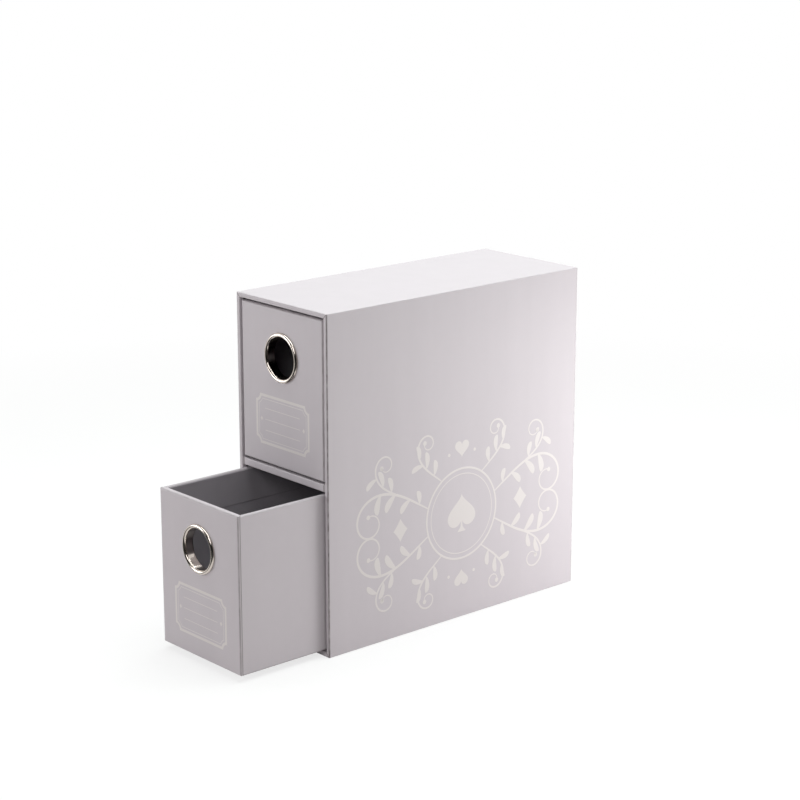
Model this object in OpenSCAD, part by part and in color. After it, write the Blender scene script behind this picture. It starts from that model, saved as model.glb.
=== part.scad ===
// Playing card box: a paper-covered greyboard casing that holds two drawers, one above the other.
// Each drawer is a board tray with a thicker front, a dark lining and a metal finger ring.
// Millimetres. Origin at the centre of the underside, +X to the right, drawers open towards -Y.

/* [Casing] */
// Outer width of the casing
casing_w = 87; // [80:1:120]
// Outer height of the casing
casing_h = 216; // [190:1:260]
// Outer depth of the casing, front to back
casing_d = 212; // [160:1:320]
// Thickness of the casing's greyboard walls
casing_board_t = 2.5; // [1.5:0.1:3.5]
// Thickness of each of the two boards glued together as the shelf
shelf_board_t = 2.2; // [1.5:0.1:3]
// How far the shelf's front edge stands behind the casing's front
shelf_recess = 0.3; // [0.1:0.1:1]

/* [Paper and card] */
// Thickness of the covering paper
paper_t = 0.2; // [0.15:0.05:0.3]
// Rounding of the covered outer edges
edge_r = 0.5; // [0.2:0.05:0.5]
// Rounding of the upright and bottom edges of a drawer's face
face_edge_r = 1; // [0.5:0.1:1.2]
// Width of the paper turned over the hidden side of a board
turn_in_w = 14; // [8:1:18]
// Margin left round the sheets that cover the underside and the back
sheet_margin = 3; // [1:0.5:6]
// Thickness of the cards that line the two bays
card_t = 1; // [0.5:0.1:1.5]
// How far the lining cards stand behind the casing's front
card_setback = 3; // [1:0.5:8]

/* [Drawers] */
// Clearance on each side of a drawer, between it and the lining cards
side_clearance = 0.5; // [0.3:0.1:1]
// Clearance under a drawer
floor_clearance = 0.3; // [0.2:0.1:0.5]
// Clearance above a drawer
roof_clearance = 0.5; // [0.3:0.1:1]
// Clearance behind a closed drawer
rear_clearance = 1; // [0.5:0.1:3]
// How far a closed drawer's face stands behind the casing's front
face_recess = 0.4; // [0.2:0.1:1]
// How far the lower drawer is drawn out in the pose that is modelled
lower_out = 65; // [0:1:150]
// Thickness of the boards of a drawer's floor and walls
tray_board_t = 2.2; // [1.5:0.1:3]
// Thickness of the extra board behind a drawer's face
face_board_t = 1.2; // [1:0.1:2]
// Height of the covering paper turned down inside a drawer, below its rim
turn_down_h = 22; // [12:1:30]
// Thickness of the dark lining inside a drawer
liner_t = 0.2; // [0.15:0.05:0.4]

/* [Finger rings] */
// Inner diameter of a ring, the hole for a finger
ring_bore_d = 26; // [22:0.5:30]
// Wall of a ring's tube
ring_wall = 0.5; // [0.4:0.1:0.8]
// Width of the round bead in front of a drawer's face
bead_w = 2.7; // [2:0.1:4]
// How far the bead stands out of the face
bead_h = 1.6; // [1.1:0.1:1.9]
// Depth of a ring's centre below the drawer's rim
ring_drop = 30; // [24:1:45]
// Clearance between a ring's tube and the holes that it passes through
ring_clearance = 0.15; // [0.1:0.05:0.3]
// Width of the washer inside a drawer
washer_w = 2.5; // [2:0.1:4]
// Thickness of that washer
washer_t = 0.5; // [0.3:0.1:0.8]
// Radius of the curl that holds the washer on the tube
curl_r = 0.75; // [0.6:0.05:1]

/* [Hidden] */
$fn = 96;
// Overrun of every cut
over = 1;

// Front and back planes of the casing, and its paper's outer faces under and behind it:
// the base and back sheets stand proud of these by their own thickness.
front_y = -casing_d / 2;
back_y = casing_d / 2;
cover_y1 = back_y - paper_t;
cover_z0 = paper_t;

// The block that the casing's boards fill, inside the paper
core_w = casing_w - 2 * paper_t;
core_y0 = front_y + paper_t;
core_y1 = cover_y1 - paper_t;
core_z0 = cover_z0 + paper_t;
core_z1 = casing_h - paper_t;

// The space between the boards
inside_w = core_w - 2 * casing_board_t;
inside_y1 = core_y1 - casing_board_t;
inside_z0 = core_z0 + casing_board_t;
inside_z1 = core_z1 - casing_board_t;

// The mouth, between the strips of paper turned in over the boards' front edges
mouth_w = inside_w - 2 * paper_t;
mouth_z0 = inside_z0 + paper_t;
mouth_z1 = inside_z1 - paper_t;

// The shelf halves the mouth into two bays of one height
shelf_t = 2 * (shelf_board_t + paper_t);
shelf_z = (mouth_z0 + mouth_z1) / 2;
shelf_y0 = front_y + shelf_recess;
bay_h = (mouth_z1 - mouth_z0 - shelf_t) / 2;
lower_bay_z = mouth_z0;
upper_bay_z = shelf_z + shelf_t / 2;
card_y0 = front_y + card_setback;
card_y1 = inside_y1 - card_t;

// A drawer in its own place: its face is at y = 0, its underside at z = 0
tray_w = mouth_w - 2 * (card_t + side_clearance);
tray_h = bay_h - 2 * card_t - floor_clearance - roof_clearance;
closed_y = front_y + face_recess;
drawer_l = card_y1 - rear_clearance - closed_y;
face_t = face_board_t + 2 * paper_t;
wall_t = tray_board_t + 2 * paper_t;
front_wall_t = tray_board_t + paper_t;
floor_z = paper_t + tray_board_t;
rim_r = wall_t / 2;
face_rim_r = min(rim_r, face_board_t + paper_t);
turn_down_z = tray_h - turn_down_h;

// Inner faces of a drawer's boards, where the dark lining lies
board_in_x = tray_w / 2 - wall_t + paper_t;
board_in_y0 = face_t + tray_board_t;
board_in_y1 = drawer_l - wall_t + paper_t;

// A ring: its tube passes through the whole front, and the washer lies on the lining
ring_r = ring_bore_d / 2;
tube_r = ring_r + ring_wall;
ring_z = tray_h - ring_drop;
bead_r = bead_w / 2;
bead_centre = bead_h - bead_r;
washer_y = board_in_y0 + paper_t + liner_t;
tube_back = washer_y + washer_t;

PAPER = [0.74, 0.73, 0.74];
BOARD = [0.55, 0.50, 0.44];
CARD = [0.22, 0.21, 0.23];
LINING = [0.28, 0.27, 0.29];
NICKEL = [0.80, 0.79, 0.76];

// A block between two corners
module span(low, high) {
    translate(low) cube(high - low);
}

// A rectangle between two corners. Its corners, from low-low round to low-high, have these radii.
module soft_rect(low, high, radii) {
    corners = [low, [high.x, low.y], high, [low.x, high.y]];
    inward = [[1, 1], [-1, 1], [-1, -1], [1, -1]];
    difference() {
        translate(low) square(high - low);
        for (i = [0:3])
            if (radii[i] > 0)
                translate(corners[i]) difference() {
                    square(2 * radii[i], center = true);
                    translate(inward[i] * radii[i]) circle(r = radii[i]);
                }
    }
}

// A section drawn in x and z, carried along y
module along_y(y0, y1) {
    translate([0, y1, 0]) rotate([90, 0, 0]) linear_extrude(y1 - y0) children();
}

// A section drawn in y and z, carried along x
module along_x(x0, x1) {
    translate([x0, 0, 0]) rotate([90, 0, 90]) linear_extrude(x1 - x0) children();
}

// A section drawn in x and y, carried along z
module along_z(z0, z1) {
    translate([0, 0, z0]) linear_extrude(z1 - z0) children();
}

// CASING

module casing_bottom_board() {
    color(BOARD) span([-core_w / 2, core_y0, core_z0], [core_w / 2, core_y1, inside_z0]);
}

module casing_top_board() {
    color(BOARD) span([-core_w / 2, core_y0, inside_z1], [core_w / 2, core_y1, core_z1]);
}

module casing_side_board(x) {
    color(BOARD) span([x, core_y0, inside_z0], [x + casing_board_t, core_y1, inside_z1]);
}

module casing_back_board() {
    color(BOARD)
        span([-inside_w / 2, inside_y1, inside_z0], [inside_w / 2, core_y1, inside_z1]);
}

// The outer paper: over the four sides, turned in at the mouth, turned over at the back and below
module casing_wrap() {
    color(PAPER) {
        difference() {
            intersection() {
                along_y(front_y, cover_y1)
                    soft_rect([-casing_w / 2, cover_z0], [casing_w / 2, casing_h], edge_r * [1, 1, 1, 1]);
                along_x(-casing_w / 2, casing_w / 2)
                    soft_rect([front_y, cover_z0], [cover_y1, casing_h], edge_r * [1, 1, 1, 1]);
                along_z(cover_z0, casing_h)
                    soft_rect([-casing_w / 2, front_y], [casing_w / 2, cover_y1], edge_r * [1, 1, 1, 1]);
            }
            span([-core_w / 2, core_y0, core_z0], [core_w / 2, core_y1, core_z1]);
            span([-mouth_w / 2, front_y - over, mouth_z0], [mouth_w / 2, core_y0 + over, mouth_z1]);
            span([-casing_w / 2 + turn_in_w, core_y1 - over, cover_z0 + turn_in_w],
                 [casing_w / 2 - turn_in_w, cover_y1 + over, casing_h - turn_in_w]);
            span([-casing_w / 2 + turn_in_w, front_y + turn_in_w, cover_z0 - over],
                 [casing_w / 2 - turn_in_w, cover_y1 - turn_in_w, core_z0 + over]);
        }
        difference() {
            span([-inside_w / 2, core_y0, inside_z0], [inside_w / 2, front_y + turn_in_w, inside_z1]);
            span([-mouth_w / 2, core_y0 - over, mouth_z0],
                 [mouth_w / 2, front_y + turn_in_w + over, mouth_z1]);
        }
    }
}

module casing_base_sheet() {
    color(PAPER)
        span([-casing_w / 2 + sheet_margin, front_y + sheet_margin, 0],
             [casing_w / 2 - sheet_margin, back_y - sheet_margin, paper_t]);
}

module casing_back_sheet() {
    color(PAPER)
        span([-casing_w / 2 + sheet_margin, cover_y1, sheet_margin],
             [casing_w / 2 - sheet_margin, back_y, casing_h - sheet_margin]);
}

// SHELF

module shelf_board(z) {
    color(BOARD)
        span([-mouth_w / 2 + paper_t, shelf_y0 + paper_t, z],
             [mouth_w / 2 - paper_t, inside_y1, z + shelf_board_t]);
}

// The paper round the shelf's front edge and ends
module shelf_wrap() {
    color(PAPER) difference() {
        intersection() {
            along_x(-mouth_w / 2, mouth_w / 2)
                soft_rect([shelf_y0, shelf_z - shelf_t / 2], [shelf_y0 + turn_in_w, shelf_z + shelf_t / 2],
                          edge_r * [1, 0, 0, 1]);
            along_z(shelf_z - shelf_t / 2, shelf_z + shelf_t / 2)
                soft_rect([-mouth_w / 2, shelf_y0], [mouth_w / 2, shelf_y0 + turn_in_w],
                          edge_r * [1, 1, 0, 0]);
        }
        span([-mouth_w / 2 + paper_t, shelf_y0 + paper_t, shelf_z - shelf_board_t],
             [mouth_w / 2 - paper_t, shelf_y0 + turn_in_w + over, shelf_z + shelf_board_t]);
    }
}

// LINING CARDS of a bay whose floor is at z

module bay_level_card(z) {
    color(CARD) span([-mouth_w / 2, card_y0, z], [mouth_w / 2, card_y1, z + card_t]);
}

module bay_side_card(x, z) {
    color(CARD) span([x, card_y0, z + card_t], [x + card_t, card_y1, z + bay_h - card_t]);
}

module bay_back_card(z) {
    color(CARD) span([-mouth_w / 2, card_y1, z], [mouth_w / 2, inside_y1, z + bay_h]);
}

// DRAWERS

module in_lower_bay() {
    translate([0, closed_y - lower_out, lower_bay_z + card_t + floor_clearance]) children();
}

module in_upper_bay() {
    translate([0, closed_y, upper_bay_z + card_t + floor_clearance]) children();
}

// The tray without its face, as deep under its surface as the inset:
// none gives the paper's outer faces, the paper's thickness gives the boards' faces.
module tray_form(inset, corner_r) {
    outer_x = tray_w / 2 - inset;
    inner_x = tray_w / 2 - wall_t + inset;
    back_out = drawer_l - inset;
    top_z = tray_h - inset;
    r = rim_r - inset;
    intersection() {
        along_y(face_t, back_out)
            soft_rect([-outer_x, inset], [outer_x, top_z], [corner_r, corner_r, r, r]);
        along_x(-outer_x, outer_x)
            soft_rect([face_t, inset], [back_out, top_z], [0, corner_r, r, 0]);
        along_z(inset, top_z)
            soft_rect([-outer_x, face_t], [outer_x, back_out], [0, 0, corner_r, corner_r]);
        union() {
            span([-outer_x, face_t, inset], [outer_x, back_out, floor_z]);
            along_y(face_t, back_out) soft_rect([-outer_x, inset], [-inner_x, top_z], [0, 0, r, r]);
            along_y(face_t, back_out) soft_rect([inner_x, inset], [outer_x, top_z], [0, 0, r, r]);
            along_x(-outer_x, outer_x)
                soft_rect([drawer_l - wall_t + inset, inset], [back_out, top_z], [0, 0, r, r]);
            along_x(-outer_x, outer_x)
                soft_rect([face_t, inset], [face_t + front_wall_t - inset, top_z], [0, 0, r, 0]);
        }
    }
}

// The extra board of the face in the same way, with its top front edge rounded like the rim.
// The corner radius is that of the edges at its back, where it meets the tray.
module face_form(inset, corner_r) {
    outer_x = tray_w / 2 - inset;
    top_z = tray_h - inset;
    front_r = face_edge_r - inset;
    intersection() {
        along_x(-outer_x, outer_x)
            soft_rect([inset, inset], [face_t - inset, top_z], [front_r, corner_r, 0, face_rim_r - inset]);
        along_z(inset, top_z)
            soft_rect([-outer_x, inset], [outer_x, face_t - inset], [front_r, front_r, corner_r, corner_r]);
    }
}

module ring_hole() {
    translate([0, -over, ring_z]) rotate([-90, 0, 0])
        cylinder(r = tube_r + ring_clearance, h = washer_y + 2 * over);
}

module tray_floor_board() {
    color(BOARD) span([-tray_w / 2 + paper_t, face_t, paper_t],
                      [tray_w / 2 - paper_t, drawer_l - paper_t, floor_z]);
}

// The wall on one side: -1 is the left, 1 the right
module tray_side_board(side) {
    color(BOARD) intersection() {
        tray_form(paper_t, 0);
        span([side < 0 ? -tray_w / 2 : board_in_x, face_t, floor_z],
             [side < 0 ? -board_in_x : tray_w / 2, drawer_l, tray_h]);
    }
}

module tray_back_board() {
    color(BOARD) intersection() {
        tray_form(paper_t, 0);
        span([-board_in_x, board_in_y1, floor_z], [board_in_x, drawer_l, tray_h]);
    }
}

module tray_front_board() {
    color(BOARD) difference() {
        intersection() {
            tray_form(paper_t, 0);
            span([-board_in_x, face_t, floor_z], [board_in_x, board_in_y0, tray_h]);
        }
        ring_hole();
    }
}

module face_board() {
    color(BOARD) difference() {
        face_form(paper_t, 0);
        ring_hole();
    }
}

// The space over and behind the front wall, where the face's paper is folded into the tray
module front_fold_zone(low_z) {
    span([-tray_w / 2 + wall_t, face_t, low_z],
         [tray_w / 2 - wall_t, face_t + front_wall_t, tray_h + over]);
}

// The paper on a tray's underside, sides and back, turned down inside the rim
module tray_wrap() {
    color(PAPER) difference() {
        tray_form(0, edge_r);
        tray_form(paper_t, 0);
        front_fold_zone(floor_z);
        span([-board_in_x, board_in_y0, floor_z], [board_in_x, board_in_y1, turn_down_z]);
    }
}

// The paper on the face, turned over behind its board, and over the rim into the tray
module face_wrap() {
    color(PAPER) difference() {
        union() {
            difference() {
                face_form(0, edge_r);
                face_form(paper_t, 0);
                span([-tray_w / 2 + turn_in_w, face_t - paper_t - over, turn_in_w],
                     [tray_w / 2 - turn_in_w, face_t + over, tray_h - paper_t]);
            }
            intersection() {
                difference() {
                    tray_form(0, edge_r);
                    tray_form(paper_t, 0);
                }
                front_fold_zone(turn_down_z);
            }
        }
        ring_hole();
    }
}

// The dark lining: on the boards below, and over the turned-down paper above
module tray_liner() {
    top_z = tray_h - rim_r;
    color(LINING) difference() {
        union() {
            span([-board_in_x, board_in_y0, floor_z], [board_in_x, board_in_y1, turn_down_z]);
            span([-board_in_x + paper_t, board_in_y0 + paper_t, floor_z],
                 [board_in_x - paper_t, board_in_y1 - paper_t, top_z]);
        }
        span([-board_in_x + liner_t, board_in_y0 + liner_t, floor_z + liner_t],
             [board_in_x - liner_t, board_in_y1 - liner_t, turn_down_z - liner_t]);
        span([-board_in_x + paper_t + liner_t, board_in_y0 + paper_t + liner_t, floor_z + liner_t],
             [board_in_x - paper_t - liner_t, board_in_y1 - paper_t - liner_t, top_z + over]);
        ring_hole();
    }
}

// A tube with a round bead in front of the face and a curl behind the washer
module finger_ring() {
    color(NICKEL) translate([0, 0, ring_z]) rotate([90, 0, 0]) rotate_extrude() {
        translate([ring_r, -tube_back]) square([ring_wall, tube_back + bead_centre]);
        intersection() {
            translate([ring_r + bead_r, bead_centre]) circle(r = bead_r);
            translate([ring_r, 0]) square([bead_w, bead_h]);
        }
        intersection() {
            translate([ring_r + curl_r, -tube_back]) circle(r = curl_r);
            translate([ring_r, -tube_back - curl_r]) square([2 * curl_r, curl_r]);
        }
    }
}

module ring_washer() {
    color(NICKEL) translate([0, washer_y, ring_z]) rotate([-90, 0, 0]) difference() {
        cylinder(r = tube_r + washer_w, h = washer_t);
        translate([0, 0, -over]) cylinder(r = tube_r + ring_clearance, h = washer_t + 2 * over);
    }
}

casing_bottom_board();
casing_top_board();
casing_side_board(-core_w / 2);  // casing_left_board
casing_side_board(inside_w / 2);  // casing_right_board
casing_back_board();
shelf_board(shelf_z - shelf_board_t);  // shelf_lower_board
shelf_board(shelf_z);  // shelf_upper_board
shelf_wrap();
casing_wrap();
casing_base_sheet();
casing_back_sheet();
bay_level_card(lower_bay_z);  // lower_bay_floor_card
bay_level_card(lower_bay_z + bay_h - card_t);  // lower_bay_roof_card
bay_side_card(-mouth_w / 2, lower_bay_z);  // lower_bay_left_card
bay_side_card(mouth_w / 2 - card_t, lower_bay_z);  // lower_bay_right_card
bay_back_card(lower_bay_z);  // lower_bay_back_card
bay_level_card(upper_bay_z);  // upper_bay_floor_card
bay_level_card(upper_bay_z + bay_h - card_t);  // upper_bay_roof_card
bay_side_card(-mouth_w / 2, upper_bay_z);  // upper_bay_left_card
bay_side_card(mouth_w / 2 - card_t, upper_bay_z);  // upper_bay_right_card
bay_back_card(upper_bay_z);  // upper_bay_back_card
in_lower_bay() tray_floor_board();  // lower_drawer_floor_board
in_lower_bay() tray_side_board(-1);  // lower_drawer_left_board
in_lower_bay() tray_side_board(1);  // lower_drawer_right_board
in_lower_bay() tray_back_board();  // lower_drawer_back_board
in_lower_bay() tray_front_board();  // lower_drawer_front_board
in_lower_bay() face_board();  // lower_drawer_face_board
in_lower_bay() tray_wrap();  // lower_drawer_tray_wrap
in_lower_bay() face_wrap();  // lower_drawer_face_wrap
in_lower_bay() tray_liner();  // lower_drawer_liner
in_lower_bay() finger_ring();  // lower_drawer_finger_ring
in_lower_bay() ring_washer();  // lower_drawer_ring_washer
in_upper_bay() tray_floor_board();  // upper_drawer_floor_board
in_upper_bay() tray_side_board(-1);  // upper_drawer_left_board
in_upper_bay() tray_side_board(1);  // upper_drawer_right_board
in_upper_bay() tray_back_board();  // upper_drawer_back_board
in_upper_bay() tray_front_board();  // upper_drawer_front_board
in_upper_bay() face_board();  // upper_drawer_face_board
in_upper_bay() tray_wrap();  // upper_drawer_tray_wrap
in_upper_bay() face_wrap();  // upper_drawer_face_wrap
in_upper_bay() tray_liner();  // upper_drawer_liner
in_upper_bay() finger_ring();  // upper_drawer_finger_ring
in_upper_bay() ring_washer();  // upper_drawer_ring_washer
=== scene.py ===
import math

import bmesh
import bpy
import numpy as np
from mathutils import Matrix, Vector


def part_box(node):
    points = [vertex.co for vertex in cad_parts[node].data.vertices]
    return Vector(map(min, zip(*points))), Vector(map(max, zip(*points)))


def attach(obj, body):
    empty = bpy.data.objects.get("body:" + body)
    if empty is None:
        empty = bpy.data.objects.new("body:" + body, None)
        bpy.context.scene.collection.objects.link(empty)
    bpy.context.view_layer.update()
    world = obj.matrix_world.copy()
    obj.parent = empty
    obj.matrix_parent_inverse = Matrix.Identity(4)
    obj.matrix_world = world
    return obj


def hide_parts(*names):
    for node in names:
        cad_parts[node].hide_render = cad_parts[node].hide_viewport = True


# A card box: a paper-covered casing and two drawers with metal finger rings, the lower one drawn out.
# Metres, as the frame: +X to the right, +Z up, and the drawers open towards -Y.
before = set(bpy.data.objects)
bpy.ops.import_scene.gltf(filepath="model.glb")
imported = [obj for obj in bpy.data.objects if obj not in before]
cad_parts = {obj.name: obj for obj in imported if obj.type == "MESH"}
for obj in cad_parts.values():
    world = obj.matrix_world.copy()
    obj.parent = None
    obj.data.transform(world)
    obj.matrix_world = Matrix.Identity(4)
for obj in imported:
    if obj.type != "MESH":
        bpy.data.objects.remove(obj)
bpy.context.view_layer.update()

MM = 0.001

# The papers: their thickness and roundings, how far they are turned over and down, the least rounding
# of a corner, where points lie behind the mouth's lip, and how far from its end the shelf has its fold
PAPER_T = 0.2 * MM
EDGE_R = 0.5 * MM
LIP_R = 0.35 * MM
MOUTH_CORNER_R = 0.8 * MM
FACE_EDGE_R = 1.0 * MM
SHELF_EDGE_R = 0.7 * MM
TURN_OVER = 14 * MM
TURN_DOWN = 22 * MM
TINY_R = 0.02 * MM
LIP_DEPTHS = np.array([2.5, 1.2, 0.6]) * MM
SHELF_FOLD_IN = 1.2 * MM

# Points closer than this are one, edges shorter than this are dropped, and a length under this is nought
SAME_POINT = 0.002 * MM
NO_EDGE = 0.001 * MM
NO_LENGTH = 1e-12

# A fold's groove: its depth and half width, and how far its shade reaches
GROOVE_DEPTH = 0.1 * MM
GROOVE_W = 0.14 * MM
SHADE_W = 0.22 * MM

# A ring's tube, bead and curl
TUBE_T = 0.5 * MM
BEAD_R = 1.35 * MM
CURL_R = 0.75 * MM
HOLE_CLEARANCE = 0.15 * MM

# Along a line that turns a corner, the distances from the turn's middle where points lie
CORNER_STEPS = np.array([0.05, 0.1, 0.18, 0.28, 0.4, 0.55, 0.75, 1.0, 1.5, 3.0]) * MM
CORNER_STEPS = np.concatenate([-CORNER_STEPS[::-1], [0.0], CORNER_STEPS])


def corners(node):
    """A frame node's lowest and highest corners as arrays."""
    return tuple(np.array(corner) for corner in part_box(node))


def quarter(steps=6):
    """Angles from nought to a right angle."""
    return np.linspace(0.0, math.pi / 2, steps + 1)


def towards_edge(radius, steps=5):
    """Distances from a sharp edge that soften spreads evenly on its arc.

    They are radius * (1 - tan u), with u from 0 to pi / 4: from the radius down to nought."""
    return radius * (1 - np.tan(np.linspace(0.0, math.pi / 4, steps + 1)))


def quads(rows, columns, closed):
    """Corner numbers of a grid's quads, row by row. A closed grid's last column meets its first."""
    i = np.arange(rows - 1)[:, None]
    j = np.arange(columns if closed else columns - 1)[None, :]
    k = (j + 1) % columns
    four = [i * columns + j, i * columns + k, (i + 1) * columns + k, (i + 1) * columns + j]
    return np.stack(four, -1).reshape(-1, 4)


def sheet(points, inside, seam=0.0, edge=0.0, closed=False):
    """A grid of points as a surface whose faces look away from the point inside, on the whole.

    The sum, over its quads, of the area vector times the way from that point to the quad tells
    which way round they are. seam and edge are marks from 0 to 1 that the finishes read."""
    rows, columns = points.shape[:2]
    flat = points.reshape(-1, 3)
    faces = quads(rows, columns, closed)
    a, b, c, d = (flat[faces[:, i]] for i in range(4))
    area = np.cross(c - a, d - b)
    if np.sum(area * ((a + c) / 2 - np.asarray(inside))) < 0:
        faces = faces[:, ::-1]
    marks = {"seam": seam, "edge": edge}
    marks = {name: np.broadcast_to(mark, (rows, columns)).ravel() for name, mark in marks.items()}
    return {"points": flat, "faces": faces, **marks}


def piece(name, sheets, thickness=0.0, smooth=True):
    """One object from several sheets. A thickness gives it a wall on its inner side."""
    first = np.cumsum([0] + [len(s["points"]) for s in sheets])
    points = np.concatenate([s["points"] for s in sheets])
    faces = np.concatenate([s["faces"] + n for s, n in zip(sheets, first)])
    mesh = bpy.data.meshes.new(name)
    mesh.from_pydata(points.tolist(), [], faces.tolist())
    for mark in ("seam", "edge"):
        values = np.concatenate([s[mark] for s in sheets]).astype(np.float32)
        mesh.attributes.new(mark, "FLOAT", "POINT").data.foreach_set("value", values)
    merged = bmesh.new()
    merged.from_mesh(mesh)
    bmesh.ops.remove_doubles(merged, verts=merged.verts, dist=SAME_POINT)
    bmesh.ops.dissolve_degenerate(merged, edges=merged.edges, dist=NO_EDGE)
    merged.to_mesh(mesh)
    merged.free()
    if smooth:
        mesh.shade_smooth()
    obj = bpy.data.objects.new(name, mesh)
    bpy.context.scene.collection.objects.link(obj)
    if thickness:
        wall = obj.modifiers.new("thickness", "SOLIDIFY")
        wall.thickness = thickness
        wall.offset = -1
        wall.use_even_offset = False
    return obj


def turn(steps, radius):
    """Where a line that turns a quarter lies: how far along its way in, and along its way out.

    The line arrives at a corner along its way in and leaves along its way out. Within radius * pi / 4
    of the turn's middle it runs on an arc of that radius, and past that on the straight."""
    half = radius * math.pi / 4
    bent = np.clip(steps, -half, half)
    angle = bent / radius + math.pi / 4
    straight = steps - bent
    along_in = radius * (np.sin(angle) - 1) + np.minimum(straight, 0)
    along_out = radius * (1 - np.cos(angle)) + np.maximum(straight, 0)
    return along_in, along_out


def groove(distance):
    """A bell curve across a fold: exp(-(distance / GROOVE_W)^2)."""
    return np.exp(-((distance / GROOVE_W) ** 2))


def shade(distance):
    """The wider bell curve of the shade along a fold: exp(-(distance / SHADE_W)^2)."""
    return np.exp(-((distance / SHADE_W) ** 2))


def soften(points, low, high, radius):
    """Rounds the edges of a block, on points of its sharp surface.

    Each point moves onto an ellipsoid of these radii, rolled inside the block: to the nearest point
    of the block shrunk by them, plus the unit way out from it times them."""
    low, high = np.asarray(low, float), np.asarray(high, float)
    radius = np.broadcast_to(np.asarray(radius, float), (3,))
    core = np.clip(points, low + radius, high - radius)
    way = (points - core) / radius
    length = np.linalg.norm(way, axis=-1, keepdims=True)
    return np.where(length > 0, core + way / np.maximum(length, NO_LENGTH) * radius, points)


def joined(parts):
    """The rows of a profile from its parts, each a tuple of columns of one length or of single numbers."""
    lengths = [max(np.size(column) for column in part) for part in parts]
    full = [[np.broadcast_to(c, (n,)) for c in part] for part, n in zip(parts, lengths)]
    return [np.concatenate(column).astype(float) for column in zip(*full)]


def round_rows(low, high, inset, depth, radius, between=0):
    """Rows of points round an upright rectangle from its low to its high corner.

    Each row has an inset from the rectangle's sides, a depth along y and a radius at each of the four
    corners, bottom right first. Between corners each row may have further points, evenly spaced."""
    turns = [
        ((high[0], low[-1]), (1, 0), (0, 1)),
        ((high[0], high[-1]), (0, 1), (-1, 0)),
        ((low[0], high[-1]), (-1, 0), (0, -1)),
        ((low[0], low[-1]), (0, -1), (1, 0)),
    ]
    shares = np.linspace(0, 1, between + 2)[1:-1, None]
    rows = []
    for d, y, radii in zip(inset, depth, radius):
        lines = []
        for (corner, way_in, way_out), r in zip(turns, np.broadcast_to(radii, 4)):
            along_in, along_out = turn(CORNER_STEPS, max(r, TINY_R))
            way_in, way_out = np.array(way_in), np.array(way_out)
            at = np.array(corner) + d * (way_out - way_in)
            lines.append(at + along_in[:, None] * way_in + along_out[:, None] * way_out)
        following = lines[1:] + lines[:1]
        line = np.concatenate([np.concatenate([this, this[-1] + (other[0] - this[-1]) * shares])
                               for this, other in zip(lines, following)])
        rows.append(np.stack([line[:, 0], np.full(len(line), y), line[:, 1]], -1))
    return np.array(rows)


# Casing

cover_low, cover_high = corners("casing_wrap")
shelf_low, shelf_high = corners("shelf_wrap")
front_y, back_y = cover_low[1], cover_high[1]
mouth_inset = cover_high[0] - shelf_high[0]
casing_middle = (cover_low + cover_high) / 2

# How much wear and painted shade the casing's edges take: bottom, right, top, left, darker on the sides
# that the light reaches less, and the shares of that at the lip and the back. Then the edge marks, wear and
# painted shade, of a tray's foot and rims.
SIDE_WEAR_AND_SHADE = [0.6, 1.0, 0.2, 0.6]
LIP_WEAR_AND_SHADE, FOOT_WEAR_AND_SHADE, RIM_WEAR_AND_SHADE = 0.4, 0.5, 0.15


def casing_cover():
    """Paper from inside the mouth, round the front strip, along the sides and over onto the back.

    A profile of inset and depth is carried round the casing's rectangle. Its lip and its outer edges
    are quarter circles, and the corners of the mouth are rounded less and less with depth. At each
    mitre on the front strip and on the back the paper is pressed in by GROOVE_DEPTH * groove, and the seam
    mark gives it a dark joint with painted shade. The edge mark, wear and painted shade, is the profile's
    own times the share of the side that each column lies on."""
    a = quarter()
    strip = np.linspace(mouth_inset - LIP_R, EDGE_R, 7)[1:-1]
    inset, depth, mitre, edge = joined([
        (mouth_inset, front_y + np.array([TURN_OVER, *LIP_DEPTHS]), 0, 0),
        (mouth_inset - LIP_R * (1 - np.cos(a)), front_y + LIP_R * (1 - np.sin(a)), np.sin(a), LIP_WEAR_AND_SHADE),
        (strip, front_y, 1, 0),
        (EDGE_R * (1 - np.sin(a)), front_y + EDGE_R * (1 - np.cos(a)), np.cos(a), 1),
        (0, np.array([front_y + 2 * EDGE_R, back_y - 2 * EDGE_R]), 0, 0),
        (EDGE_R * (1 - np.cos(a)), back_y - EDGE_R * (1 - np.sin(a)), np.sin(a), LIP_WEAR_AND_SHADE),
        (np.array([2 * EDGE_R, TURN_OVER]), back_y, 1, 0),
    ])
    towards_mouth = np.clip((inset - EDGE_R) / (mouth_inset - EDGE_R), 0, 1) ** 2
    fading = np.clip(1 - (depth - front_y) / LIP_DEPTHS[0], 0, 1)
    radius = np.where(inset < EDGE_R, EDGE_R - inset, MOUTH_CORNER_R * towards_mouth * fading)
    points = round_rows(cover_low, cover_high, inset, depth, radius)
    steps = np.tile(CORNER_STEPS, 4)[None, :]
    inward = np.where(depth < 0, mitre, -mitre)[:, None]
    points[:, :, 1] += GROOVE_DEPTH * inward * groove(steps)
    # Seam marks on the mitres: a dark joint with painted shade. Edge marks per side: wear and painted
    # shade.
    seam = mitre[:, None] * shade(steps)
    sides = zip(SIDE_WEAR_AND_SHADE, SIDE_WEAR_AND_SHADE[1:] + SIDE_WEAR_AND_SHADE[:1])
    wear = [np.where(CORNER_STEPS < 0, before, after) for before, after in sides]
    edge = edge[:, None] * np.concatenate(wear)
    return piece("casing_cover", [sheet(points, casing_middle, seam, edge, True)], PAPER_T)


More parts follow.
